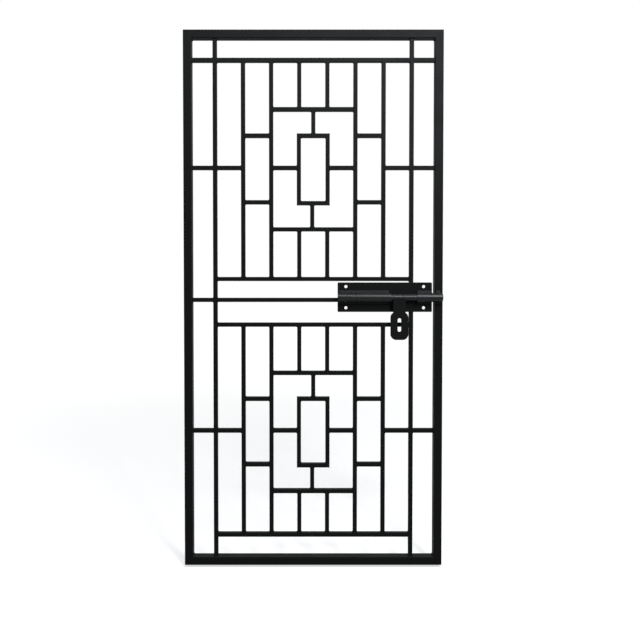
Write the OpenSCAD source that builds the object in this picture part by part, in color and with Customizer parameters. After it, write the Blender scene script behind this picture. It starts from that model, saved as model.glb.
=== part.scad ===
// Steel security screen door: a mitred square tube frame, a welded grid of
// square bars in two panels, and a sliding round bolt with a hanging hasp.
// Millimetres. X runs from the hinge edge to the lock edge, the front faces -Y,
// Z is up. The origin is the middle of the hinge edge's flat outer face.

/* [Door] */
// Width of the leaf over its frame
door_w = 1000; // [900:1:1200]
// Height of the leaf over its frame
door_h = 2070; // [2000:1:2250]

/* [Frame tube] */
// Side of the square frame tube
frame_tube = 32; // [28:0.5:40]
// Wall of the frame tube
frame_wall = 1.6; // [1.2:0.1:3]
// Outer corner radius of the frame tube
frame_corner = 2.5; // [1:0.1:4]

/* [Bars] */
// Side of the square bars of the grid
bar = 16; // [12:0.5:20]
// Wall of the bars
bar_wall = 1.2; // [0.8:0.1:2.5]
// Outer corner radius of the bars
bar_corner = 1.5; // [0.5:0.1:2]
// From a stile's inner face to the centre of the long bar beside it
edge_bay = 89; // [60:0.5:110]

/* [Bar heights] */
// From the top of the leaf down to the centre of the top crossbar
top_bay = 114; // [80:0.5:140]
// From the bottom of the leaf up to the centre of the lower panel's sill
bottom_bay = 117; // [80:0.5:140]
// Height of the middle rail's centre above the bottom of the leaf
rail_height = 1033.5; // [1000:0.5:1060]
// From the middle rail up to the upper panel's sill
sill_rise = 81; // [78:0.5:100]
// From the middle rail down to the lower panel's head
head_drop = 96; // [80:0.5:110]
// From a panel's head down to its inner head
picket_pitch = 188; // [150:0.5:210]
// From the inner head to the box, and from the box to the inner sill
stub_pitch = 101; // [70:0.5:120]
// From the upper panel's sill up to its inner sill
upper_foot = 192; // [150:0.5:210]
// From the lower panel's sill up to its inner sill
lower_foot = 171; // [130:0.5:200]
// How far the side ties stand above the middle of the box
tie_rise = 6; // [0:0.5:30]
// How far the stub below each box stands off the centre line
stub_shift = 4; // [0:0.5:12]
// Width of the box in the middle of each panel, over its posts
box_w = 127; // [118:0.5:140]
// How far the low side rungs stand above the bottom of the box
low_rung_rise = 3.5; // [0:0.5:8]

/* [Bolt plate] */
// Width of the plate that carries the bolt
plate_w = 364; // [340:1:400]
// Height of the plate
plate_h = 114; // [100:1:130]
// Thickness of the plate
plate_t = 4; // [3:0.5:6]
// Corner radius of the plate
plate_corner = 4; // [1:0.5:10]
// Open gap between the plate and the lock stile
plate_gap = 10; // [2:0.5:15]
// How far the plate's centre stands above the middle rail
plate_rise = 11; // [0:0.5:14]
// Diameter of the four holes in the plate
plate_hole_d = 12; // [8:0.5:14]
// From the plate's side edge to the hole centres
hole_side_inset = 32; // [15:0.5:45]
// From the plate's top or bottom edge to the hole centres
hole_edge_inset = 16; // [10:0.5:20]

/* [Bolt] */
// Diameter of the round bolt
rod_d = 25; // [20:0.5:28]
// Running clearance around the bolt, on the radius
rod_clearance = 0.35; // [0.3:0.05:0.6]
// Wall of the pipe sleeves
sleeve_wall = 4; // [3:0.1:5]
// From the lock edge to the end of the lock sleeve and the bolt's tip
tip_inset = 6; // [0:0.5:12]
// Length of the sleeve that crosses the lock stile
lock_sleeve_l = 98; // [90:0.5:120]
// Open length between the lock sleeve and the middle sleeve
window_l = 99; // [95:0.5:110]
// Length of the middle sleeve
middle_sleeve_l = 133; // [100:1:140]
// Gap between the middle sleeve and the tail sleeve
sleeve_gap = 3.5; // [1:0.5:20]
// From the plate's edge to the bolt's tail end
tail_inset = 6; // [2:0.5:20]
// Bevel around the bolt's two ends
rod_bevel = 1.5; // [0.5:0.5:4]
// Gap left for the weld under each sleeve
weld_gap = 0.2; // [0.1:0.1:0.5]

/* [Hasp] */
// Thickness of the hasp
hasp_t = 6; // [4:0.5:8]
// How far the hasp's front stands behind the bolt's front
hasp_set = 1; // [0.5:0.5:3]
// Width of the hasp's neck
neck_w = 47; // [35:1:50]
// From the middle sleeve to the neck with the bolt drawn back
neck_gap = 8; // [6:0.5:12]
// Width of the hasp's eye plate
eye_w = 68; // [55:1:75]
// Height of the hasp's eye plate
eye_h = 107; // [90:0.5:115]
// From the bolt's axis down to the top of the eye plate
eye_drop = 55; // [50:1:70]
// Corner radius of the eye plate
eye_corner = 22; // [8:1:24]
// Width of the slot in the eye plate
slot_w = 14; // [13.5:0.5:20]
// Height of the slot
slot_h = 52; // [40:1:60]
// Corner radius of the slot
slot_corner = 6.5; // [1:0.5:6.5]
// How far the slot's centre stands above the eye plate's centre
slot_rise = 3.5; // [0:0.5:8]

/* [Hidden] */
$fn = 48;

paint = [0.115, 0.118, 0.125];
plate_paint = [0.1, 0.102, 0.108];
bolt_paint = [0.13, 0.133, 0.14];

// Places across the leaf, from its centre line
stile_face = door_w / 2 - frame_tube;
long_x = stile_face - edge_bay;
bar_pitch = 2 * long_x / 7;
picket_x = bar_pitch / 2;
box_x = (box_w - bar) / 2;
inner_x = 3 * bar_pitch / 2;
outer_x = 5 * bar_pitch / 2;

// Depth of the grid: the plate on its front lies flush with the frame's front
front_y = -frame_tube / 2;
bar_y = front_y + plate_t + bar / 2;

// Centre heights of the crossbars, from the bottom of the leaf
top_z = door_h - top_bay;
upper_sill_z = rail_height + sill_rise;
lower_head_z = rail_height - head_drop;

// A panel is its six crossbar heights from the head down to the sill
function panel_heights(head, sill, foot) = [
    head,
    head - picket_pitch,
    head - picket_pitch - stub_pitch,
    sill + foot + stub_pitch,
    sill + foot,
    sill
];
function tie_height(p) = (p[2] + p[3]) / 2 + tie_rise;

upper_panel = panel_heights(top_z, upper_sill_z, upper_foot);
lower_panel = panel_heights(lower_head_z, bottom_bay, lower_foot);

// The bolt's axis runs along the middle of the plate
plate_x1 = stile_face - plate_gap;
plate_x0 = plate_x1 - plate_w;
plate_z = rail_height + plate_rise;
bore_r = rod_d / 2 + rod_clearance;
sleeve_r = bore_r + sleeve_wall;
axis_y = front_y - weld_gap - sleeve_r;
tip_x = door_w / 2 - tip_inset;
lock_sleeve_x = tip_x - lock_sleeve_l;
middle_sleeve_x1 = lock_sleeve_x - window_l;
middle_sleeve_x0 = middle_sleeve_x1 - middle_sleeve_l;
hasp_x = middle_sleeve_x1 + neck_gap + neck_w / 2;
hasp_front_y = axis_y - rod_d / 2 + hasp_set;

// Moves what is drawn from the leaf's bottom centre to the hinge edge's middle
module on_leaf() {
    translate([door_w / 2, 0, -door_h / 2]) children();
}

module rounded_rectangle(width, height, r) {
    square([width, height - 2 * r], center = true);
    square([width - 2 * r, height], center = true);
    for (x = [-1, 1], y = [-1, 1])
        translate([x * (width / 2 - r), y * (height / 2 - r)]) circle(r);
}

module square_tube(length, side, wall, r) {
    linear_extrude(length)
        difference() {
            rounded_rectangle(side, side, r);
            square(side - 2 * wall, center = true);
        }
}

// A square tube along X with its outer edge at z = 0 and both ends mitred
module mitred_tube(length, side, wall, r) {
    intersection() {
        translate([0, 0, side / 2])
            rotate([0, 90, 0]) square_tube(length, side, wall, r);
        translate([0, side, 0])
            rotate([90, 0, 0])
                linear_extrude(2 * side)
                    polygon([
                        [0, 0],
                        [length, 0],
                        [length - side, side],
                        [side, side]
                    ]);
    }
}

module frame_side(length) {
    mitred_tube(length, frame_tube, frame_wall, frame_corner);
}

module box_side(length) {
    mitred_tube(length, bar, bar_wall, bar_corner);
}

module upright(x, z0, z1) {
    translate([x, bar_y, z0]) square_tube(z1 - z0, bar, bar_wall, bar_corner);
}

module crossbar(z, x0, x1) {
    translate([x0, bar_y, z])
        rotate([0, 90, 0]) square_tube(x1 - x0, bar, bar_wall, bar_corner);
}

// An upright cut to fit between two crossbars, given by their centre heights
module upright_between(x, z_low, z_high) {
    upright(x, z_low + bar / 2, z_high - bar / 2);
}

// A crossbar cut to fit between two uprights, given by their centre places
module crossbar_between(z, x_left, x_right) {
    crossbar(z, x_left + bar / 2, x_right - bar / 2);
}

// The short pieces from each stile to the long bar beside it
module stile_pieces(z) {
    crossbar(z, -stile_face, -long_x - bar / 2);
    crossbar(z, long_x + bar / 2, stile_face);
}

// Frame
module hinge_stile() {
    color(paint) on_leaf()
        translate([-door_w / 2, 0, 0])
            mirror([1, 0, 0]) rotate([0, -90, 0]) frame_side(door_h);
}

module lock_stile() {
    color(paint) on_leaf()
        translate([door_w / 2, 0, 0]) rotate([0, -90, 0]) frame_side(door_h);
}

module top_rail() {
    color(paint) on_leaf()
        translate([-door_w / 2, 0, door_h]) mirror([0, 0, 1]) frame_side(door_w);
}

module bottom_rail() {
    color(paint) on_leaf() translate([-door_w / 2, 0, 0]) frame_side(door_w);
}

// Long bars and full-width crossbars
module left_long_bar() {
    color(paint) on_leaf() upright(-long_x, frame_tube, door_h - frame_tube);
}

module right_long_bar() {
    color(paint) on_leaf() upright(long_x, frame_tube, door_h - frame_tube);
}

module top_crossbar() {
    color(paint) on_leaf() {
        crossbar_between(top_z, -long_x, long_x);
        stile_pieces(top_z);
    }
}

module middle_rail() {
    color(paint) on_leaf() {
        crossbar_between(rail_height, -long_x, long_x);
        stile_pieces(rail_height);
    }
}

module upper_panel_sill() {
    color(paint) on_leaf() crossbar_between(upper_panel[5], -long_x, long_x);
}

module lower_panel_head() {
    color(paint) on_leaf() crossbar_between(lower_panel[0], -long_x, long_x);
}

module lower_panel_sill() {
    color(paint) on_leaf() crossbar_between(lower_panel[5], -long_x, long_x);
}

// Pieces that both panels have, drawn from a panel's heights
module panel_uprights(p, x) {
    for (side = [-1, 1]) upright_between(side * x, p[5], p[0]);
}

module panel_inner_crossbar(z) {
    crossbar_between(z, -inner_x, inner_x);
}

module panel_pickets(z_low, z_high) {
    for (side = [-1, 1]) upright_between(side * picket_x, z_low, z_high);
}

module panel_centre_stubs(p) {
    upright_between(0, p[2], p[1]);
    upright_between(-stub_shift, p[4], p[3]);
}

module panel_box_rails(p) {
    translate([-box_w / 2, bar_y, p[2] + bar / 2]) mirror([0, 0, 1]) box_side(box_w);
    translate([-box_w / 2, bar_y, p[3] - bar / 2]) box_side(box_w);
}

module panel_box_post(p) {
    translate([box_w / 2, bar_y, p[3] - bar / 2])
        rotate([0, -90, 0]) box_side(p[2] - p[3] + bar);
}

module panel_box_posts(p) {
    panel_box_post(p);
    mirror([1, 0, 0]) panel_box_post(p);
}

module panel_box_ties(p) {
    crossbar_between(tie_height(p), -inner_x, -box_x);
    crossbar_between(tie_height(p), box_x, inner_x);
}

module panel_side_rungs(p) {
    for (z = [p[2], p[3] + low_rung_rise]) {
        crossbar_between(z, -outer_x, -inner_x);
        crossbar_between(z, inner_x, outer_x);
    }
}

module panel_outer_ties(p) {
    stile_pieces(tie_height(p));
    crossbar_between(tie_height(p), -long_x, -outer_x);
    crossbar_between(tie_height(p), outer_x, long_x);
}

// Upper panel
module upper_outer_uprights() {
    color(paint) on_leaf() panel_uprights(upper_panel, outer_x);
}

module upper_inner_uprights() {
    color(paint) on_leaf() panel_uprights(upper_panel, inner_x);
}

module upper_inner_head() {
    color(paint) on_leaf() panel_inner_crossbar(upper_panel[1]);
}

module upper_inner_sill() {
    color(paint) on_leaf() panel_inner_crossbar(upper_panel[4]);
}

module upper_high_pickets() {
    color(paint) on_leaf() panel_pickets(upper_panel[1], upper_panel[0]);
}

module upper_low_pickets() {
    color(paint) on_leaf() panel_pickets(upper_panel[5], upper_panel[4]);
}

module upper_centre_stubs() {
    color(paint) on_leaf() panel_centre_stubs(upper_panel);
}

module upper_box_rails() {
    color(paint) on_leaf() panel_box_rails(upper_panel);
}

module upper_box_posts() {
    color(paint) on_leaf() panel_box_posts(upper_panel);
}

module upper_box_ties() {
    color(paint) on_leaf() panel_box_ties(upper_panel);
}

module upper_side_rungs() {
    color(paint) on_leaf() panel_side_rungs(upper_panel);
}

module upper_outer_ties() {
    color(paint) on_leaf() panel_outer_ties(upper_panel);
}

// Lower panel
module lower_outer_uprights() {
    color(paint) on_leaf() panel_uprights(lower_panel, outer_x);
}

module lower_inner_uprights() {
    color(paint) on_leaf() panel_uprights(lower_panel, inner_x);
}

module lower_inner_head() {
    color(paint) on_leaf() panel_inner_crossbar(lower_panel[1]);
}

module lower_inner_sill() {
    color(paint) on_leaf() panel_inner_crossbar(lower_panel[4]);
}

module lower_high_pickets() {
    color(paint) on_leaf() panel_pickets(lower_panel[1], lower_panel[0]);
}

module lower_low_pickets() {
    color(paint) on_leaf() panel_pickets(lower_panel[5], lower_panel[4]);
}

module lower_centre_stubs() {
    color(paint) on_leaf() panel_centre_stubs(lower_panel);
}

module lower_box_rails() {
    color(paint) on_leaf() panel_box_rails(lower_panel);
}

module lower_box_posts() {
    color(paint) on_leaf() panel_box_posts(lower_panel);
}

module lower_box_ties() {
    color(paint) on_leaf() panel_box_ties(lower_panel);
}

module lower_side_rungs() {
    color(paint) on_leaf() panel_side_rungs(lower_panel);
}

module lower_outer_ties() {
    color(paint) on_leaf() panel_outer_ties(lower_panel);
}

// Bolt plate with its four open holes, welded on the front of the bars
module bolt_plate() {
    color(plate_paint) on_leaf()
        translate([(plate_x0 + plate_x1) / 2, front_y + plate_t, plate_z])
            rotate([90, 0, 0])
                linear_extrude(plate_t)
                    difference() {
                        rounded_rectangle(plate_w, plate_h, plate_corner);
                        for (x = [-1, 1], y = [-1, 1])
                            translate([
                                x * (plate_w / 2 - hole_side_inset),
                                y * (plate_h / 2 - hole_edge_inset)
                            ])
                                circle(d = plate_hole_d);
                    }
}

// A piece of pipe along the bolt's axis
module pipe_sleeve(x0, x1) {
    color(bolt_paint) on_leaf()
        translate([x0, axis_y, plate_z])
            rotate([0, 90, 0])
                linear_extrude(x1 - x0)
                    difference() {
                        circle(sleeve_r);
                        circle(bore_r);
                    }
}

module tail_sleeve() {
    pipe_sleeve(plate_x0, middle_sleeve_x0 - sleeve_gap);
}

module middle_sleeve() {
    pipe_sleeve(middle_sleeve_x0, middle_sleeve_x1);
}

module lock_sleeve() {
    pipe_sleeve(lock_sleeve_x, tip_x);
}

// Round bolt with bevelled ends, its tip level with the lock sleeve's end
module bolt_rod() {
    rod_x0 = plate_x0 + tail_inset;
    rod_l = tip_x - rod_x0;
    color(bolt_paint) on_leaf()
        translate([rod_x0, axis_y, plate_z])
            rotate([0, 90, 0])
                rotate_extrude()
                    polygon([
                        [0, 0],
                        [rod_d / 2 - rod_bevel, 0],
                        [rod_d / 2, rod_bevel],
                        [rod_d / 2, rod_l - rod_bevel],
                        [rod_d / 2 - rod_bevel, rod_l],
                        [0, rod_l]
                    ]);
}

// Hasp: a neck that is shaped to the bolt and a slotted eye plate below it
module hasp() {
    color(bolt_paint) on_leaf()
        difference() {
            translate([hasp_x, hasp_front_y + hasp_t, plate_z])
                rotate([90, 0, 0])
                    linear_extrude(hasp_t)
                        difference() {
                            union() {
                                translate([-neck_w / 2, -eye_drop - eye_corner])
                                    square([neck_w, eye_drop + eye_corner]);
                                translate([0, -eye_drop - eye_h / 2])
                                    rounded_rectangle(eye_w, eye_h, eye_corner);
                            }
                            translate([0, slot_rise - eye_drop - eye_h / 2])
                                rounded_rectangle(slot_w, slot_h, slot_corner);
                        }
            translate([hasp_x - neck_w, axis_y, plate_z])
                rotate([0, 90, 0]) cylinder(h = 2 * neck_w, r = bore_r);
        }
}

hinge_stile();
lock_stile();
top_rail();
bottom_rail();
left_long_bar();
right_long_bar();
top_crossbar();
middle_rail();
upper_panel_sill();
lower_panel_head();
lower_panel_sill();
upper_outer_uprights();
upper_inner_uprights();
upper_inner_head();
upper_inner_sill();
upper_high_pickets();
upper_low_pickets();
upper_centre_stubs();
upper_box_rails();
upper_box_posts();
upper_box_ties();
upper_side_rungs();
upper_outer_ties();
lower_outer_uprights();
lower_inner_uprights();
lower_inner_head();
lower_inner_sill();
lower_high_pickets();
lower_low_pickets();
lower_centre_stubs();
lower_box_rails();
lower_box_posts();
lower_box_ties();
lower_side_rungs();
lower_outer_ties();
bolt_plate();
tail_sleeve();
middle_sleeve();
lock_sleeve();
bolt_rod();
hasp();
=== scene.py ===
"""Finish of a steel security screen door: its black enamel, its weld beads and the studio round it."""

import math

import bmesh
import bpy
from mathutils import Matrix, Vector


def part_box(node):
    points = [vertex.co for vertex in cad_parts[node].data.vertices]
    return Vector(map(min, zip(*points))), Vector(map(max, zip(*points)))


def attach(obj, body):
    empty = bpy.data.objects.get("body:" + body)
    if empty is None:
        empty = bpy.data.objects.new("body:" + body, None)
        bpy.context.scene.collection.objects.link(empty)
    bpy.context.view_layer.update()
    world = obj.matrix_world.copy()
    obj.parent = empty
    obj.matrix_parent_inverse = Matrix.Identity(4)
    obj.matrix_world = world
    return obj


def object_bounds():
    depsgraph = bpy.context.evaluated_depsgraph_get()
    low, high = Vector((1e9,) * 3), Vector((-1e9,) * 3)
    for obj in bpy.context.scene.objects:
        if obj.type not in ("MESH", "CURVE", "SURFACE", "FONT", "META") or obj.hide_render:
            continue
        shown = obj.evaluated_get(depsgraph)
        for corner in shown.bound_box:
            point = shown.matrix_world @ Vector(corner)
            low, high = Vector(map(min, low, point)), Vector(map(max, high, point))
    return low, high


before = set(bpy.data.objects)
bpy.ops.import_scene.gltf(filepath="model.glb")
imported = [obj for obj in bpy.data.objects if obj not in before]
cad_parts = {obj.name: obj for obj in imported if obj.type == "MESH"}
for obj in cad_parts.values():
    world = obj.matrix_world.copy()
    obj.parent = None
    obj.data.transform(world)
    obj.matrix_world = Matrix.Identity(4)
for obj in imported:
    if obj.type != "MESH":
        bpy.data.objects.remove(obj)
cad_low, cad_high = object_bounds()

bl_info = {
    "name": "Steel security screen door",
    "version": (1, 0, 0),
    "blender": (4, 5, 0),
    "location": "3D View > Sidebar > Screen door",
    "description": "Paints and welds the steelwork of a barred door with a slide bolt, and sets its studio",
    "category": "Object",
}

X, Z = 0, 2
FORWARD = Vector((0.0, -1.0, 0.0))
BACKWARD = Vector((0.0, 1.0, 0.0))
RIGHT = Vector((1.0, 0.0, 0.0))
UP = Vector((0.0, 0.0, 1.0))


# Values a user would change

class PaintSettings(bpy.types.PropertyGroup):
    coat: bpy.props.FloatVectorProperty(
        name="Enamel", description="Colour of the black enamel", subtype="COLOR",
        size=4, min=0.0, max=1.0, default=(0.0030, 0.0030, 0.0030, 1.0))
    dust: bpy.props.FloatVectorProperty(
        name="Dust", description="Colour of the fine dust that settles on upward faces", subtype="COLOR",
        size=4, min=0.0, max=1.0, default=(0.060, 0.060, 0.058, 1.0))
    # Lighter colour on sharp edges: paint thinned by rubbing there, and a painted highlight along them.
    edge_rub_highlight_colour: bpy.props.FloatVectorProperty(
        name="Rubbed edge", description="Colour of the thin, rubbed paint on sharp edges", subtype="COLOR",
        size=4, min=0.0, max=1.0, default=(0.014, 0.0145, 0.016, 1.0))
    steel: bpy.props.FloatVectorProperty(
        name="Bare steel", description="Colour of the steel where the bolt has scuffed its paint",
        subtype="COLOR", size=4, min=0.0, max=1.0, default=(0.09, 0.09, 0.09, 1.0))
    roughness: bpy.props.FloatProperty(
        name="Roughness", description="Roughness of the semi-gloss enamel", min=0.05, max=1.0, default=0.5)
    gloss: bpy.props.FloatProperty(
        name="Specular level", description="Strength of the enamel's mirror part", min=0.0, max=1.0,
        default=0.032)


class WeldSettings(bpy.types.PropertyGroup):
    cheek_leg: bpy.props.FloatProperty(
        name="Cheek leg", description="Leg of the fillets in the corners beside each bar's end",
        unit="LENGTH", default=0.0028)
    edge_leg: bpy.props.FloatProperty(
        name="Edge leg", description="Leg of the fillets in front of and behind a bar that meets the frame",
        unit="LENGTH", default=0.0026)
    cap_width: bpy.props.FloatProperty(
        name="Cap width", description="Width of the flat beads across flush joints",
        unit="LENGTH", default=0.0060)
    cap_rise: bpy.props.FloatProperty(
        name="Cap rise", description="How far the flat beads stand off the bars",
        unit="LENGTH", default=0.0006)
    ripple: bpy.props.FloatProperty(
        name="Ripple", description="Distance from one ripple of a bead to the next",
        unit="LENGTH", default=0.0028)
    ripple_depth: bpy.props.FloatProperty(
        name="Ripple depth", description="How far a bead narrows between its ripples", subtype="FACTOR",
        min=0.0, max=0.5, default=0.09)
    sleeve_root: bpy.props.FloatProperty(
        name="Sleeve root", description="From the bolt's axis to the root of a sleeve's bead",
        unit="LENGTH", default=0.012)
    sleeve_reach: bpy.props.FloatProperty(
        name="Sleeve reach", description="Leg of a sleeve's bead along the plate",
        unit="LENGTH", default=0.016)
    sleeve_rise: bpy.props.FloatProperty(
        name="Sleeve rise", description="Leg of a sleeve's bead off the plate",
        unit="LENGTH", default=0.009)
    sink: bpy.props.FloatProperty(
        name="Sink", description="How deep a bead's root is fused into the steel",
        unit="LENGTH", default=0.0003)


class StudioSettings(bpy.types.PropertyGroup):
    camera_place: bpy.props.FloatVectorProperty(
        name="Camera", description="Where the camera stands", subtype="TRANSLATION", unit="LENGTH",
        size=3, default=(0.4712, -2.2233, 0.1256))
    camera_pitch: bpy.props.FloatProperty(
        name="Pitch", description="How far the camera looks down", subtype="ANGLE",
        default=math.radians(1.111))
    focal: bpy.props.FloatProperty(
        name="Focal length", description="Focal length in mm on a sensor 36 mm wide", default=32.2)
    shift: bpy.props.FloatVectorProperty(
        name="Lens shift", description="Shift that centres the door as in the photograph", size=2,
        default=(0.0222, -0.0653))
    paper: bpy.props.FloatVectorProperty(
        name="Floor paper", description="Colour of the floor that takes the door's shadow", subtype="COLOR",
        size=4, min=0.0, max=1.0, default=(0.45, 0.45, 0.45, 1.0))
    floor_drop: bpy.props.FloatProperty(
        name="Floor drop", description="Gap between the leaf's foot and the floor", unit="LENGTH",
        default=0.012)
    floor_glow: bpy.props.FloatProperty(
        name="Floor glow", description="Light of the far paper floor, which the lamps don't reach",
        default=0.87)
    near_glow: bpy.props.FloatProperty(
        name="Near floor glow", description="Light of the paper floor under the lamps", default=0.60)
    fill: bpy.props.FloatProperty(
        name="Fill", description="Brightness of the room's soft light on the door", default=0.3)
    lamp_colour: bpy.props.FloatVectorProperty(
        name="Lamp colour", description="Colour of the two softboxes", subtype="COLOR",
        size=3, min=0.0, max=1.0, default=(0.89, 0.95, 1.0))


# Shader node helpers

def add_node(tree, kind, place, **values):
    """Adds one node, with its plain properties set."""
    made = tree.nodes.new(kind)
    made.location = place
    for name, value in values.items():
        setattr(made, name, value)
    return made


def feed(tree, socket, value):
    """Links another node's output to a socket, or sets the socket to a plain value."""
    if isinstance(value, bpy.types.NodeSocket):
        tree.links.new(value, socket)
    else:
        socket.default_value = value


def new_group(name, inputs, outputs):
    """Starts a shader node group from (name, socket type, default) rows."""
    group = bpy.data.node_groups.new(name, "ShaderNodeTree")
    for label, kind, default in inputs:
        socket = group.interface.new_socket(name=label, in_out="INPUT", socket_type=kind)
        socket.default_value = default
    for label, kind in outputs:
        group.interface.new_socket(name=label, in_out="OUTPUT", socket_type=kind)
    start = add_node(group, "NodeGroupInput", (-1200, 0))
    end = add_node(group, "NodeGroupOutput", (900, 0))
    return group, start, end


def add_group(tree, place, name, maker):
    """Places the named group, which is built the first time it is asked for."""
    group = bpy.data.node_groups.get(name) or maker()
    return add_node(tree, "ShaderNodeGroup", place, node_tree=group)


def math_node(tree, operation, place, first, second=None):
    """A math node of one or two values."""
    made = add_node(tree, "ShaderNodeMath", place, operation=operation)
    feed(tree, made.inputs[0], first)
    if second is not None:
        feed(tree, made.inputs[1], second)
    return made.outputs[0]


def ramp_node(tree, place, value, from_low, from_high, to_low=0.0, to_high=1.0):
    """A clamped smooth step from one range to another."""
    made = add_node(tree, "ShaderNodeMapRange", place, interpolation_type="SMOOTHSTEP")
    feed(tree, made.inputs["Value"], value)
    feed(tree, made.inputs["From Min"], from_low)
    feed(tree, made.inputs["From Max"], from_high)
    feed(tree, made.inputs["To Min"], to_low)
    feed(tree, made.inputs["To Max"], to_high)
    return made.outputs["Result"]


def noise_node(tree, place, vector, scale, detail, roughness=0.5):
    """Fractal noise on the given vector."""
    made = add_node(tree, "ShaderNodeTexNoise", place)
    feed(tree, made.inputs["Vector"], vector)
    feed(tree, made.inputs["Scale"], scale)
    feed(tree, made.inputs["Detail"], detail)
    feed(tree, made.inputs["Roughness"], roughness)
    return made.outputs["Fac"]


def blend_colour(tree, place, mask, first, second):
    """Mixes two colours by a mask."""
    made = add_node(tree, "ShaderNodeMix", place, data_type="RGBA")
    feed(tree, made.inputs["Factor"], mask)
    feed(tree, made.inputs["A"], first)
    feed(tree, made.inputs["B"], second)
    return made.outputs["Result"]


# Shared effects

SAG_DEPTH = 1.6
DUST_DULLNESS = 0.3
EDGE_RADIUS = 0.0012
SEAM_HALF_WIDTH = 0.0022
STREAK_SCALE = (0.05, 1.0, 1.0)


def enamel_skin_group():
    """Orange peel, uneven sheen and settled dust of brushed-on enamel."""
    group, start, end = new_group(
        "enamel_skin",
        [("Coat", "NodeSocketColor", (0.01, 0.01, 0.01, 1.0)),
         ("Dust", "NodeSocketColor", (0.06, 0.06, 0.06, 1.0)),
         ("Roughness", "NodeSocketFloat", 0.42),
         ("Peel Scale", "NodeSocketFloat", 420.0),
         ("Dust Amount", "NodeSocketFloat", 0.25)],
        [("Color", "NodeSocketColor"), ("Roughness", "NodeSocketFloat"), ("Height", "NodeSocketFloat")])
    place = add_node(group, "ShaderNodeTexCoord", (-1200, -300))
    vector = place.outputs["Object"]

    peel = noise_node(group, (-700, -500), vector, start.outputs["Peel Scale"], detail=2.5)
    sags = noise_node(group, (-700, -750), vector, scale=55.0, detail=1.0)
    deep_sags = math_node(group, "MULTIPLY", (-500, -750), sags, SAG_DEPTH)
    height = math_node(group, "ADD", (-300, -600), peel, deep_sags)

    patches = noise_node(group, (-700, -100), vector, scale=8.0, detail=3.0)
    uneven = ramp_node(group, (-500, -100), patches, from_low=0.35, from_high=0.65,
                       to_low=-0.035, to_high=0.035)
    sheen = math_node(group, "ADD", (-300, -100), start.outputs["Roughness"], uneven)

    split = add_node(group, "ShaderNodeSeparateXYZ", (-900, 300))
    group.links.new(place.outputs["Normal"], split.inputs[0])
    upward = ramp_node(group, (-700, 300), split.outputs["Z"], from_low=0.35, from_high=0.95)
    grains = noise_node(group, (-900, 100), vector, scale=140.0, detail=4.0, roughness=0.65)
    specks = ramp_node(group, (-700, 100), grains, from_low=0.38, from_high=0.62, to_low=0.35)
    settled = math_node(group, "MULTIPLY", (-600, 250), upward, specks)
    dusty = math_node(group, "MULTIPLY", (-500, 200), settled, start.outputs["Dust Amount"])
    colour = blend_colour(group, (0, 200), dusty, start.outputs["Coat"], start.outputs["Dust"])
    dullness = math_node(group, "MULTIPLY", (0, -50), dusty, DUST_DULLNESS)
    dulled = math_node(group, "ADD", (200, 0), sheen, dullness)

    group.links.new(colour, end.inputs["Color"])
    group.links.new(dulled, end.inputs["Roughness"])
    group.links.new(height, end.inputs["Height"])
    return group


def edge_rub_and_highlight_group():
    """Paint thinned by rubbing, and a painted highlight, along sharp edges, where a rounded normal turns
    away from the face's own.
    """
    group, start, end = new_group(
        "edge_rub",
        [("Color", "NodeSocketColor", (0.01, 0.01, 0.01, 1.0)),
         ("Rubbed", "NodeSocketColor", (0.03, 0.03, 0.03, 1.0)),
         ("Amount", "NodeSocketFloat", 0.5)],
        [("Color", "NodeSocketColor")])
    place = add_node(group, "ShaderNodeTexCoord", (-1200, -300))
    geometry = add_node(group, "ShaderNodeNewGeometry", (-1200, -600))
    rounded = add_node(group, "ShaderNodeBevel", (-1200, -800), samples=4)
    rounded.inputs["Radius"].default_value = EDGE_RADIUS
    alike = add_node(group, "ShaderNodeVectorMath", (-1000, -700), operation="DOT_PRODUCT")
    group.links.new(rounded.outputs["Normal"], alike.inputs[0])
    group.links.new(geometry.outputs["Normal"], alike.inputs[1])
    turned = math_node(group, "SUBTRACT", (-850, -600), 1.0, alike.outputs["Value"])
    edge = ramp_node(group, (-700, -500), turned, from_low=0.01, from_high=0.12)

    chips = noise_node(group, (-900, -300), place.outputs["Object"], scale=260.0, detail=4.0,
                       roughness=0.65)
    broken = ramp_node(group, (-700, -300), chips, from_low=0.44, from_high=0.60)
    broken_edge = math_node(group, "MULTIPLY", (-500, -400), edge, broken)
    mask = math_node(group, "MULTIPLY", (-300, -400), broken_edge, start.outputs["Amount"])
    # The edge mask lightens the colour: paint thinned by rubbing, and a painted highlight.
    colour = blend_colour(group, (0, 0), mask, start.outputs["Color"], start.outputs["Rubbed"])
    group.links.new(colour, end.inputs["Color"])
    return group


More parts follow.
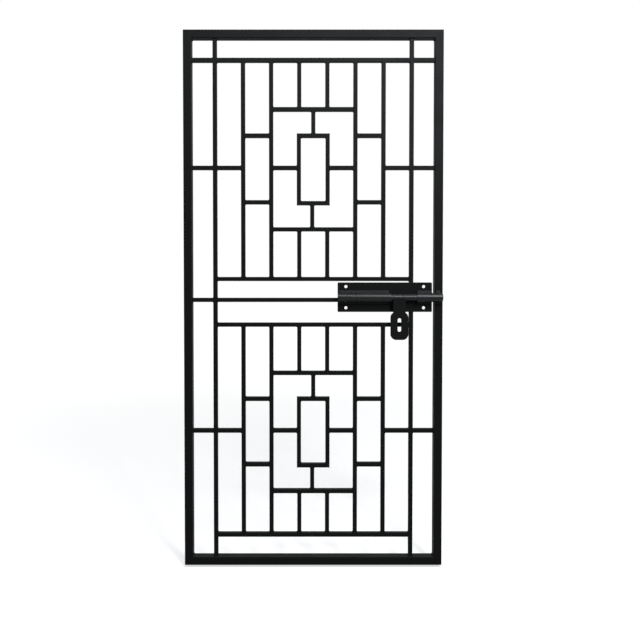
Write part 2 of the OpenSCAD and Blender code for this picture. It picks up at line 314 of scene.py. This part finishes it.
def mitre_seam_group():
    """A shallow groove along each mitre, where the way to the leaf's side equals the way to its end."""
    group, start, end = new_group(
        "mitre_seam",
        [("Height", "NodeSocketFloat", 0.0),
         ("Half Width", "NodeSocketFloat", 0.5),
         ("Half Height", "NodeSocketFloat", 1.035),
         ("Depth", "NodeSocketFloat", 3.0)],
        [("Height", "NodeSocketFloat")])
    half_width = start.outputs["Half Width"]
    place = add_node(group, "ShaderNodeTexCoord", (-1200, -300))
    split = add_node(group, "ShaderNodeSeparateXYZ", (-1000, -300))
    group.links.new(place.outputs["Object"], split.inputs[0])

    from_middle = math_node(group, "SUBTRACT", (-800, -200), split.outputs["X"], half_width)
    across = math_node(group, "ABSOLUTE", (-600, -200), from_middle)
    from_side = math_node(group, "SUBTRACT", (-400, -200), half_width, across)
    upright = math_node(group, "ABSOLUTE", (-600, -400), split.outputs["Z"])
    from_end = math_node(group, "SUBTRACT", (-400, -400), start.outputs["Half Height"], upright)
    difference = math_node(group, "SUBTRACT", (-200, -300), from_side, from_end)
    off_seam = math_node(group, "ABSOLUTE", (0, -300), difference)

    groove = ramp_node(group, (200, -300), off_seam, from_low=0.0, from_high=SEAM_HALF_WIDTH,
                       to_low=-1.0, to_high=0.0)
    carved = math_node(group, "MULTIPLY", (400, -200), groove, start.outputs["Depth"])
    height = math_node(group, "ADD", (600, -100), start.outputs["Height"], carved)
    group.links.new(height, end.inputs["Height"])
    return group


def slide_scuff_group():
    """Streaks along the bolt, where its sleeves have scuffed the paint."""
    group, start, end = new_group(
        "slide_scuff",
        [("Color", "NodeSocketColor", (0.01, 0.01, 0.01, 1.0)),
         ("Steel", "NodeSocketColor", (0.09, 0.09, 0.09, 1.0)),
         ("Amount", "NodeSocketFloat", 0.5)],
        [("Color", "NodeSocketColor")])
    place = add_node(group, "ShaderNodeTexCoord", (-1200, -300))
    drawn_out = add_node(group, "ShaderNodeMapping", (-1000, -300))
    drawn_out.inputs["Scale"].default_value = STREAK_SCALE
    group.links.new(place.outputs["Object"], drawn_out.inputs["Vector"])

    fibres = noise_node(group, (-750, -300), drawn_out.outputs["Vector"], scale=900.0, detail=3.0,
                        roughness=0.6)
    streaks = ramp_node(group, (-500, -300), fibres, from_low=0.52, from_high=0.68)
    patches = noise_node(group, (-750, -600), place.outputs["Object"], scale=28.0, detail=2.0)
    worn = ramp_node(group, (-500, -600), patches, from_low=0.42, from_high=0.62)
    scuffs = math_node(group, "MULTIPLY", (-300, -400), streaks, worn)
    mask = math_node(group, "MULTIPLY", (-100, -400), scuffs, start.outputs["Amount"])
    colour = blend_colour(group, (200, 0), mask, start.outputs["Color"], start.outputs["Steel"])
    group.links.new(colour, end.inputs["Color"])
    return group


# Paint

def enamel(name, paint, peel_scale=420.0, peel_depth=0.00005, dust=0.14, rub_and_highlight=0.25,
           rougher=0.0, shine=1.0):
    """Black enamel, with its own peel, dust, gloss, and sharp edges lightened both by rubbing and by a
    painted highlight.
    """
    material = bpy.data.materials.new(name)
    material.use_nodes = True
    tree = material.node_tree
    tree.nodes.clear()
    shader = add_node(tree, "ShaderNodeBsdfPrincipled", (600, 0))
    output = add_node(tree, "ShaderNodeOutputMaterial", (900, 0))
    tree.links.new(shader.outputs["BSDF"], output.inputs["Surface"])
    shader.inputs["Specular IOR Level"].default_value = paint.gloss * shine

    skin = add_group(tree, (-600, 0), "enamel_skin", enamel_skin_group)
    skin.inputs["Coat"].default_value = paint.coat
    skin.inputs["Dust"].default_value = paint.dust
    skin.inputs["Roughness"].default_value = paint.roughness + rougher
    skin.inputs["Peel Scale"].default_value = peel_scale
    skin.inputs["Dust Amount"].default_value = dust

    # Sharp edges turn lighter: paint thinned by rubbing, and a painted highlight.
    rubbed_and_highlit = add_group(tree, (-300, 200), "edge_rub", edge_rub_and_highlight_group)
    rubbed_and_highlit.inputs["Rubbed"].default_value = paint.edge_rub_highlight_colour
    rubbed_and_highlit.inputs["Amount"].default_value = rub_and_highlight
    tree.links.new(skin.outputs["Color"], rubbed_and_highlit.inputs["Color"])

    bump = add_node(tree, "ShaderNodeBump", (300, -300))
    bump.inputs["Strength"].default_value = 1.0
    bump.inputs["Distance"].default_value = peel_depth
    tree.links.new(skin.outputs["Height"], bump.inputs["Height"])

    tree.links.new(rubbed_and_highlit.outputs["Color"], shader.inputs["Base Color"])
    tree.links.new(skin.outputs["Roughness"], shader.inputs["Roughness"])
    tree.links.new(bump.outputs["Normal"], shader.inputs["Normal"])
    return material


def bead_enamel(name, paint, rub_and_highlight=0.4):
    """Enamel of a weld bead, with a finer peel than that of the tubes."""
    return enamel(name, paint, peel_scale=700.0, rub_and_highlight=rub_and_highlight)


def input_of(tree, kind, name):
    """The named input of the tree's one node of a kind."""
    return next(node for node in tree.nodes if node.type == kind).inputs[name]


def groove_mitres(material):
    """Adds the seams of the frame's four mitres to its enamel."""
    tree = material.node_tree
    seam = add_group(tree, (0, -300), "mitre_seam", mitre_seam_group)
    seam.inputs["Half Width"].default_value = (cad_high.x - cad_low.x) / 2
    seam.inputs["Half Height"].default_value = cad_high.z
    height = input_of(tree, "BUMP", "Height")
    tree.links.new(height.links[0].from_socket, seam.inputs["Height"])
    tree.links.new(seam.outputs["Height"], height)
    return material


def scuff_bolt(material, paint):
    """Adds the scuffs of its sliding to the bolt's enamel."""
    tree = material.node_tree
    scuff = add_group(tree, (0, 200), "slide_scuff", slide_scuff_group)
    scuff.inputs["Steel"].default_value = paint.steel
    colour = input_of(tree, "BSDF_PRINCIPLED", "Base Color")
    tree.links.new(colour.links[0].from_socket, scuff.inputs["Color"])
    tree.links.new(scuff.outputs["Color"], colour)
    return material


def nodes_of_slot(slot):
    """The CAD nodes whose finish is the named slot."""
    return [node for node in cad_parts.values() if node.data.materials[0].name.startswith(slot)]


def dress(nodes, material):
    """Gives nodes a material in every slot."""
    for node in nodes:
        for index in range(len(node.material_slots)):
            node.material_slots[index].material = material


class DOOR_OT_paint_steelwork(bpy.types.Operator):
    """Paint the frame, the grid, the bolt plate and the bolt in black enamel"""
    bl_idname = "door.paint_steelwork"
    bl_label = "Paint steelwork"

    def execute(self, context):
        paint = context.scene.door_paint
        tubes, bars, plate = [nodes_of_slot(slot) for slot in ("frame_paint", "grid_paint", "plate_paint")]
        sleeves = [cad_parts[name] for name in ("tail_sleeve", "middle_sleeve", "lock_sleeve")]
        dress(tubes, groove_mitres(enamel("frame_enamel", paint)))
        dress(bars, enamel("grid_enamel", paint, peel_scale=520.0, peel_depth=0.00004))
        dress(plate, enamel("plate_enamel", paint, peel_scale=380.0, rub_and_highlight=0.35))
        dress(sleeves, enamel("sleeve_enamel", paint, peel_scale=460.0, rub_and_highlight=0.4, rougher=-0.15, shine=4.4))
        rod_enamel = enamel("rod_enamel", paint, peel_scale=460.0, rub_and_highlight=0.4, rougher=-0.18, shine=4.0)
        dress([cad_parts["bolt_rod"]], scuff_bolt(rod_enamel, paint))
        dress([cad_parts["hasp"]], enamel("hasp_enamel", paint, rub_and_highlight=0.35))
        return {"FINISHED"}


# Weld beads

BEAD_ROUNDING = 0.94
BEAD_ROUNDING_STEPS = 5
END_RING_SIZES = (0.45, 0.85)
SMOOTH_ANGLE = math.radians(50)


def near(first, second, slack=1e-4):
    """Whether two numbers are the same within the slack."""
    return abs(first - second) < slack


def solids_of(name):
    """The lowest and highest corners of each separate solid in a CAD node, in order of place."""
    mesh = bmesh.new()
    mesh.from_mesh(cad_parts[name].data)
    bmesh.ops.remove_doubles(mesh, verts=mesh.verts, dist=1e-6)
    unvisited = set(mesh.verts)
    boxes = []
    while unvisited:
        island = [unvisited.pop()]
        for vertex in island:
            for edge in vertex.link_edges:
                other = edge.other_vert(vertex)
                if other in unvisited:
                    unvisited.remove(other)
                    island.append(other)
        places = [vertex.co for vertex in island]
        boxes.append(tuple(Vector(pick(place[axis] for place in places) for axis in range(3))
                           for pick in (min, max)))
    mesh.free()
    return sorted(boxes, key=lambda box: tuple(round(value, 4) for value in (*box[0], *box[1])))


def frame_opening():
    """The lowest and highest corners of the room inside the frame's four tubes."""
    hinge_low, hinge_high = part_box("hinge_stile")
    lock_low, lock_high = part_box("lock_stile")
    low = Vector((hinge_high.x, hinge_low.y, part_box("bottom_rail")[1].z))
    high = Vector((lock_low.x, lock_high.y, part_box("top_rail")[0].z))
    return low, high


def neck_span():
    """Where the hasp's neck starts and ends across the door, read from its topmost corners."""
    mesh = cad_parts["hasp"].data
    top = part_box("hasp")[1].z
    across = [vertex.co.x for vertex in mesh.vertices if near(vertex.co.z, top, slack=0.002)]
    return min(across), max(across)


def bead_form(ripples, both_sides, depth):
    """A bead one unit long with a section one unit high: a quarter round, or a half round if both_sides."""
    bpy.ops.object.select_all(action="DESELECT")
    bpy.ops.mesh.primitive_cube_add(size=1.0)
    form = bpy.context.object
    form.name = "bead_form"
    bpy.ops.object.mode_set(mode="EDIT")
    bpy.ops.mesh.select_all(action="SELECT")
    if both_sides:
        bpy.ops.transform.resize(value=(1.0, 2.0, 1.0), center_override=(0.0, 0.0, 0.0))
        bpy.ops.transform.translate(value=(0.0, 0.0, 0.5))
    else:
        bpy.ops.transform.translate(value=(0.0, 0.5, 0.5))
    select_long_edges(form, lambda place: near(place.z, 1.0) and (both_sides or near(place.y, 1.0)))
    bpy.ops.mesh.bevel(offset=BEAD_ROUNDING, segments=BEAD_ROUNDING_STEPS, profile=0.5, affect="EDGES")
    select_long_edges(form, lambda place: True)
    bpy.ops.mesh.subdivide(number_cuts=2 * ripples - 1)
    shape_rings(form, ripples, depth)
    bpy.ops.object.mode_set(mode="OBJECT")
    return form


def select_long_edges(form, wanted):
    """Selects the edges along a bead whose middles are wanted."""
    bpy.ops.mesh.select_mode(type="EDGE")
    bpy.ops.mesh.select_all(action="DESELECT")
    mesh = bmesh.from_edit_mesh(form.data)
    for edge in mesh.edges:
        first, second = (vertex.co for vertex in edge.verts)
        edge.select = not near(first.x, second.x) and wanted((first + second) / 2)
    bmesh.update_edit_mesh(form.data)


def shape_rings(form, ripples, depth):
    """Draws in every second ring of a bead by a share of its size, and rounds off its two ends."""
    bpy.ops.mesh.select_mode(type="VERT")
    last = 2 * ripples
    for ring in range(last + 1):
        from_end = min(ring, last - ring)
        if from_end < len(END_RING_SIZES):
            size = END_RING_SIZES[from_end]
        elif ring % 2 == 0:
            size = 1.0 - depth
        else:
            continue
        x = ring / last - 0.5
        bpy.ops.mesh.select_all(action="DESELECT")
        mesh = bmesh.from_edit_mesh(form.data)
        for vertex in mesh.verts:
            vertex.select = near(vertex.co.x, x)
        mesh.select_flush(True)
        bmesh.update_edit_mesh(form.data)
        bpy.ops.transform.resize(value=(1.0, size, size), center_override=(x, 0.0, 0.0))


class BeadRun:
    """Beads of one joint group: each is a copy of a form, set in a corner of the steel."""

    def __init__(self, weld, ripple=None, depth=None):
        self.weld = weld
        self.ripple = ripple or weld.ripple
        self.depth = depth or weld.ripple_depth
        self.forms = {}
        self.beads = []

    def lay(self, middle, along, first, second, both_sides=False):
        """Lays a bead on its root's middle. The vectors give its length and its two legs."""
        ripples = max(3, round(along.length / self.ripple))
        key = (ripples, both_sides)
        if key not in self.forms:
            self.forms[key] = bead_form(ripples, both_sides, self.depth)
        if along.dot(first.cross(second)) < 0:
            along = -along
        sunk = middle - self.weld.sink * second.normalized()
        if not both_sides:
            sunk -= self.weld.sink * first.normalized()
        columns = Matrix((along, first, second)).transposed().to_4x4()
        bead = self.forms[key].copy()
        bead.data = bead.data.copy()
        bead.data.transform(Matrix.Translation(sunk) @ columns)
        bpy.context.scene.collection.objects.link(bead)
        self.beads.append(bead)

    def finish(self, name, body, material, unevenness=0.0006, lumps=0.005):
        """Joins the beads, roughens them and hangs them on their body."""
        bpy.ops.object.select_all(action="DESELECT")
        for bead in self.beads:
            bead.select_set(True)
        bpy.context.view_layer.objects.active = self.beads[0]
        bpy.ops.object.join()
        piece = bpy.context.object
        piece.name = name
        cloud = bpy.data.textures.new(name, "CLOUDS")
        cloud.noise_scale = lumps
        uneven = piece.modifiers.new("uneven", "DISPLACE")
        uneven.texture = cloud
        uneven.texture_coords = "LOCAL"
        uneven.strength = unevenness
        uneven.mid_level = 0.5
        bpy.ops.object.modifier_apply(modifier=uneven.name)
        bpy.ops.object.shade_smooth_by_angle(angle=SMOOTH_ANGLE)
        piece.data.materials.clear()
        piece.data.materials.append(material)
        for form in self.forms.values():
            bpy.data.objects.remove(form)
        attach(piece, body)


# Welds of the bars and the frame, with their sizes as shares of others

CORNER_BEAD_SHARE = 0.97
MITRE_BEAD_SHARE = 0.9
FRAME_LEG_SHARE = 1.2
PANEL_PARTS = ("outer_uprights", "inner_uprights", "inner_head", "inner_sill", "high_pickets",
               "low_pickets", "centre_stubs", "box_ties", "side_rungs", "outer_ties")


def weld_bar_end(run, box, axis, end, at_frame):
    """Welds one end of a bar: a fillet on each cheek, and a bead in front and behind."""
    low, high = box
    side = Z if axis == X else X
    inward = RIGHT if axis == X else UP
    if end == 1:
        inward = -inward
    middle = (low + high) / 2
    middle[axis] = box[end][axis]
    depth = Vector((0.0, high.y - low.y, 0.0))
    for corner, away in ((low[side], -1.0), (high[side], 1.0)):
        root = middle.copy()
        root[side] = corner
        leg = Vector((0.0, 0.0, 0.0))
        leg[side] = away * run.weld.cheek_leg
        run.lay(root, depth, inward * run.weld.cheek_leg, leg)
    across = Vector((0.0, 0.0, 0.0))
    across[side] = high[side] - low[side]
    for face_y, outward in ((low.y, FORWARD), (high.y, BACKWARD)):
        root = middle.copy()
        root.y = face_y
        if at_frame:
            run.lay(root, across, inward * run.weld.edge_leg, outward * run.weld.edge_leg)
        else:
            run.lay(root, across, inward * run.weld.cap_width / 2, outward * run.weld.cap_rise,
                    both_sides=True)


def weld_bars(run, names):
    """Welds both ends of every bar in the named nodes."""
    opening = frame_opening()
    for name in names:
        for box in solids_of(name):
            size = box[1] - box[0]
            axis = X if size.x > size.z else Z
            for end in (0, 1):
                at_frame = near(box[end][axis], opening[end][axis])
                weld_bar_end(run, box, axis, end, at_frame)


def weld_inner_corners(run, low, high, leg):
    """Fillets up the four inner corners of a rectangle of tube."""
    depth = Vector((0.0, CORNER_BEAD_SHARE * (high.y - low.y), 0.0))
    for x, inward in ((low.x, RIGHT), (high.x, -RIGHT)):
        for z, rising in ((low.z, UP), (high.z, -UP)):
            run.lay(Vector((x, (low.y + high.y) / 2, z)), depth, inward * leg, rising * leg)


def weld_mitre_caps(run, low, high, outer_low, outer_high):
    """Flat beads across the mitres of a box, from its inner to its outer corners."""
    for x, outer_x in ((low.x, outer_low.x), (high.x, outer_high.x)):
        for z, outer_z in ((low.z, outer_low.z), (high.z, outer_high.z)):
            along = MITRE_BEAD_SHARE * Vector((outer_x - x, 0.0, outer_z - z))
            for y, outward in ((low.y, FORWARD), (high.y, BACKWARD)):
                middle = Vector(((x + outer_x) / 2, y, (z + outer_z) / 2))
                width = along.normalized().cross(outward) * run.weld.cap_width / 2
                run.lay(middle, along, width, outward * run.weld.cap_rise, both_sides=True)


def weld_panel(context, panel):
    """Every weld of one panel, its box included."""
    run = BeadRun(context.scene.door_weld)
    weld_bars(run, [f"{panel}_{part}" for part in PANEL_PARTS])
    outer_low, outer_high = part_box(f"{panel}_box_rails")
    tube = outer_high.y - outer_low.y
    low = outer_low + Vector((tube, 0.0, tube))
    high = outer_high - Vector((tube, 0.0, tube))
    weld_inner_corners(run, low, high, run.weld.cheek_leg)
    weld_mitre_caps(run, low, high, outer_low, outer_high)
    paint = bead_enamel(f"{panel}_bead_enamel", context.scene.door_paint)
    run.finish(f"{panel}_panel_welds", "leaf", paint, unevenness=0.0005)


class DOOR_OT_weld_frame_corners(bpy.types.Operator):
    """Weld the inner corners of the frame"""
    bl_idname = "door.weld_frame_corners"
    bl_label = "Weld frame corners"

    def execute(self, context):
        run = BeadRun(context.scene.door_weld)
        low, high = frame_opening()
        weld_inner_corners(run, low, high, FRAME_LEG_SHARE * run.weld.cheek_leg)
        paint = bead_enamel("frame_bead_enamel", context.scene.door_paint)
        run.finish("frame_corner_welds", "leaf", paint)
        return {"FINISHED"}


class DOOR_OT_weld_long_bars(bpy.types.Operator):
    """Weld the bars that run past both panels"""
    bl_idname = "door.weld_long_bars"
    bl_label = "Weld long bars"

    def execute(self, context):
        run = BeadRun(context.scene.door_weld)
        weld_bars(run, ["left_long_bar", "right_long_bar", "top_crossbar", "middle_rail",
                        "upper_panel_sill", "lower_panel_head", "lower_panel_sill"])
        paint = bead_enamel("long_bar_bead_enamel", context.scene.door_paint)
        run.finish("long_bar_welds", "leaf", paint, unevenness=0.0005)
        return {"FINISHED"}


class DOOR_OT_weld_panels(bpy.types.Operator):
    """Weld the bars and boxes of the upper and lower panel"""
    bl_idname = "door.weld_panels"
    bl_label = "Weld panels"

    def execute(self, context):
        for panel in ("upper", "lower"):
            weld_panel(context, panel)
        return {"FINISHED"}


# Welds of the bolt, with their sizes as shares of others

PLATE_LEG_SHARE = 0.8
HASP_FRONT_LEG_SHARE = 0.5
SLEEVE_RIPPLE_SHARE = 2
SLEEVE_DEPTH_SHARE = 1 / 3


class DOOR_OT_weld_plate(bpy.types.Operator):
    """Weld the bolt plate's edges to the bars that pass behind it"""
    bl_idname = "door.weld_plate"
    bl_label = "Weld plate"

    def execute(self, context):
        run = BeadRun(context.scene.door_weld)
        low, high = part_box("bolt_plate")
        leg = PLATE_LEG_SHARE * (high.y - low.y)
        bar_low, bar_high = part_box("right_long_bar")
        across_bar = Vector((bar_high.x - bar_low.x, 0.0, 0.0))
        for z, outward in ((low.z, -UP), (high.z, UP)):
            root = Vector(((bar_low.x + bar_high.x) / 2, high.y, z))
            run.lay(root, across_bar, outward * leg, FORWARD * leg)
        rail_low, rail_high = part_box("middle_rail")
        up_rail = Vector((0.0, 0.0, rail_high.z - rail_low.z))
        for x, outward in ((low.x, -RIGHT), (high.x, RIGHT)):
            root = Vector((x, high.y, (rail_low.z + rail_high.z) / 2))
            run.lay(root, up_rail, outward * leg, FORWARD * leg)
        paint = bead_enamel("plate_bead_enamel", context.scene.door_paint)
        run.finish("plate_welds", "leaf", paint)
        return {"FINISHED"}


class DOOR_OT_weld_sleeves(bpy.types.Operator):
    """Weld the pipe sleeves down on the plate and the lock stile, above and below"""
    bl_idname = "door.weld_sleeves"
    bl_label = "Weld sleeves"

    def execute(self, context):
        weld = context.scene.door_weld
        run = BeadRun(weld, ripple=SLEEVE_RIPPLE_SHARE * weld.ripple,
                      depth=SLEEVE_DEPTH_SHARE * weld.ripple_depth)
        plate_low, plate_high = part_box("bolt_plate")
        lock_low, lock_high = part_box("lock_sleeve")
        axis_z = (lock_low.z + lock_high.z) / 2
        # One bead runs unbroken along the tail and the middle sleeve
        spans = ((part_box("tail_sleeve")[0].x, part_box("middle_sleeve")[1].x),
                 (lock_low.x, plate_high.x),
                 (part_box("lock_stile")[0].x, lock_high.x))
        for start, stop in spans:
            for away in (UP, -UP):
                root = Vector(((start + stop) / 2, plate_low.y, axis_z)) + weld.sleeve_root * away
                run.lay(root, RIGHT * (stop - start), away * weld.sleeve_reach, FORWARD * weld.sleeve_rise)
        paint = enamel("sleeve_bead_enamel", context.scene.door_paint, peel_scale=600.0, rub_and_highlight=0.3,
                       rougher=-0.05, shine=1.4)
        run.finish("sleeve_welds", "leaf", paint, unevenness=0.0008, lumps=0.014)
        return {"FINISHED"}


class DOOR_OT_weld_hasp(bpy.types.Operator):
    """Weld the hasp's neck to the round bolt, in front and behind"""
    bl_idname = "door.weld_hasp"
    bl_label = "Weld hasp"

    def execute(self, context):
        weld = context.scene.door_weld
        run = BeadRun(weld)
        rod_low, rod_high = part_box("bolt_rod")
        axis = (rod_low + rod_high) / 2
        radius = (rod_high.z - rod_low.z) / 2
        hasp_low, hasp_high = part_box("hasp")
        neck_low, neck_high = neck_span()
        faces = ((hasp_low.y, FORWARD, HASP_FRONT_LEG_SHARE * weld.edge_leg),
                 (hasp_high.y, BACKWARD, weld.edge_leg))
        for face_y, outward, leg in faces:
            # The neck's face leaves the round bolt this far below its axis
            drop = math.sqrt(radius ** 2 - (face_y - axis.y) ** 2)
            root = Vector(((neck_low + neck_high) / 2, face_y, axis.z - drop))
            run.lay(root, RIGHT * (neck_high - neck_low), -UP * leg, outward * leg)
        paint = bead_enamel("hasp_bead_enamel", context.scene.door_paint, rub_and_highlight=0.7)
        run.finish("hasp_weld", "hasp", paint, unevenness=0.0003)
        return {"FINISHED"}


# Studio

class DOOR_OT_set_studio(bpy.types.Operator):
    """Set the floor, the lamps, the world and the camera"""
    bl_idname = "door.set_studio"
    bl_label = "Set studio"

    def execute(self, context):
        studio = context.scene.door_studio
        lay_floor(studio)
        light_world(context.scene, studio)
        hang_lamps(studio)
        place_camera(context.scene, studio)
        context.scene.view_settings.view_transform = "Standard"
        return {"FINISHED"}


def backdrop_rays(tree, place):
    """One where a ray from the camera, a gloss or a clear piece sees the backdrop."""
    path = add_node(tree, "ShaderNodeLightPath", place)
    seen = math_node(tree, "MAXIMUM", (place[0] + 200, place[1]), path.outputs["Is Camera Ray"],
                     path.outputs["Is Glossy Ray"])
    return math_node(tree, "MAXIMUM", (place[0] + 400, place[1]), seen,
                     path.outputs["Is Transmission Ray"])


def floor_paper(studio):
    """Pale paper that takes a shadow, and glows more where the lamps don't reach."""
    material = bpy.data.materials.new("studio_floor")
    material.use_nodes = True
    tree = material.node_tree
    tree.nodes.clear()
    paper = add_node(tree, "ShaderNodeBsdfDiffuse", (0, 0))
    paper.inputs["Color"].default_value = studio.paper
    glow = add_node(tree, "ShaderNodeEmission", (0, -200))
    place = add_node(tree, "ShaderNodeTexCoord", (-1000, -500))
    away = add_node(tree, "ShaderNodeVectorMath", (-800, -500), operation="LENGTH")
    tree.links.new(place.outputs["Object"], away.inputs[0])
    level = ramp_node(tree, (-600, -500), away.outputs["Value"], from_low=0.3, from_high=5.5,
                      to_low=studio.near_glow, to_high=studio.floor_glow)
    strength = math_node(tree, "MULTIPLY", (-200, -200), backdrop_rays(tree, (-800, -200)), level)
    tree.links.new(strength, glow.inputs["Strength"])
    both = add_node(tree, "ShaderNodeAddShader", (200, 0))
    output = add_node(tree, "ShaderNodeOutputMaterial", (400, 0))
    tree.links.new(paper.outputs[0], both.inputs[0])
    tree.links.new(glow.outputs[0], both.inputs[1])
    tree.links.new(both.outputs[0], output.inputs["Surface"])
    return material


def lay_floor(studio):
    """A wide pale floor just below the leaf."""
    bpy.ops.object.select_all(action="DESELECT")
    bpy.ops.mesh.primitive_grid_add(
        x_subdivisions=8, y_subdivisions=8, size=24.0,
        location=((cad_low.x + cad_high.x) / 2, 0.0, cad_low.z - studio.floor_drop))
    floor = bpy.context.object
    floor.name = "studio_floor"
    floor.data.materials.append(floor_paper(studio))


def light_world(scene, studio):
    """A white room that gives the door an even soft light."""
    world = bpy.data.worlds.new("studio")
    scene.world = world
    world.use_nodes = True
    tree = world.node_tree
    tree.nodes.clear()
    background = add_node(tree, "ShaderNodeBackground", (0, 0))
    background.inputs["Color"].default_value = (1.0, 1.0, 1.0, 1.0)
    white = add_node(tree, "ShaderNodeMapRange", (-200, 0))
    tree.links.new(backdrop_rays(tree, (-900, 0)), white.inputs["Value"])
    white.inputs["To Min"].default_value = studio.fill
    white.inputs["To Max"].default_value = 1.0
    tree.links.new(white.outputs["Result"], background.inputs["Strength"])
    output = add_node(tree, "ShaderNodeOutputWorld", (200, 0))
    tree.links.new(background.outputs[0], output.inputs["Surface"])


def hang_lamp(name, place, aim, size, power, colour):
    """One rectangular softbox, turned to what it lights."""
    data = bpy.data.lights.new(name, "AREA")
    data.shape = "RECTANGLE"
    data.size, data.size_y = size
    data.energy = power
    data.color = colour
    lamp = bpy.data.objects.new(name, data)
    bpy.context.scene.collection.objects.link(lamp)
    lamp.location = place
    lamp.rotation_euler = (Vector(aim) - Vector(place)).to_track_quat("-Z", "Y").to_euler()


def hang_lamps(studio):
    """A long softbox high in front, and a tall one to the upper right."""
    hang_lamp("overhead_softbox", place=(0.7, -1.9, 2.3), aim=(cad_low + cad_high) / 2,
              size=(2.2, 0.5), power=118.0, colour=studio.lamp_colour)
    hang_lamp("right_softbox", place=(1.7, -2.4, 1.7), aim=(0.9, 0.0, 0.6),
              size=(0.7, 1.2), power=112.0, colour=studio.lamp_colour)


def place_camera(scene, studio):
    """The photograph's view, from in front of the door's middle and a little above the bolt."""
    data = bpy.data.cameras.new("camera")
    data.lens = studio.focal
    data.sensor_width = 36.0
    data.shift_x, data.shift_y = studio.shift
    camera = bpy.data.objects.new("camera", data)
    scene.collection.objects.link(camera)
    camera.location = studio.camera_place
    camera.rotation_euler = (math.radians(90) - studio.camera_pitch, 0.0, 0.0)
    scene.camera = camera


# Sidebar and registration

class DOOR_PT_sidebar(bpy.types.Panel):
    """The door's operators and settings"""
    bl_idname = "DOOR_PT_sidebar"
    bl_label = "Screen door"
    bl_space_type = "VIEW_3D"
    bl_region_type = "UI"
    bl_category = "Screen door"

    def draw(self, context):
        column = self.layout.column()
        for operator in OPERATORS:
            column.operator(operator.bl_idname)
        for group in (context.scene.door_paint, context.scene.door_weld, context.scene.door_studio):
            for name in group.__annotations__:
                column.prop(group, name)


OPERATORS = (DOOR_OT_paint_steelwork, DOOR_OT_weld_frame_corners, DOOR_OT_weld_long_bars,
             DOOR_OT_weld_panels, DOOR_OT_weld_plate, DOOR_OT_weld_sleeves, DOOR_OT_weld_hasp,
             DOOR_OT_set_studio)
SETTINGS = (("door_paint", PaintSettings), ("door_weld", WeldSettings), ("door_studio", StudioSettings))


def register():
    """Registers the settings, the operators and the panel."""
    for name, group in SETTINGS:
        bpy.utils.register_class(group)
        setattr(bpy.types.Scene, name, bpy.props.PointerProperty(type=group))
    for made in (*OPERATORS, DOOR_PT_sidebar):
        bpy.utils.register_class(made)


def unregister():
    """Takes all of it out again."""
    for made in (DOOR_PT_sidebar, *reversed(OPERATORS)):
        bpy.utils.unregister_class(made)
    for name, group in reversed(SETTINGS):
        delattr(bpy.types.Scene, name)
        bpy.utils.unregister_class(group)


def main():
    """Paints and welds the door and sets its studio."""
    register()
    bpy.ops.door.paint_steelwork()
    bpy.ops.door.weld_frame_corners()
    bpy.ops.door.weld_long_bars()
    bpy.ops.door.weld_panels()
    bpy.ops.door.weld_plate()
    bpy.ops.door.weld_sleeves()
    bpy.ops.door.weld_hasp()
    bpy.ops.door.set_studio()


if __name__ == "__main__":
    main()
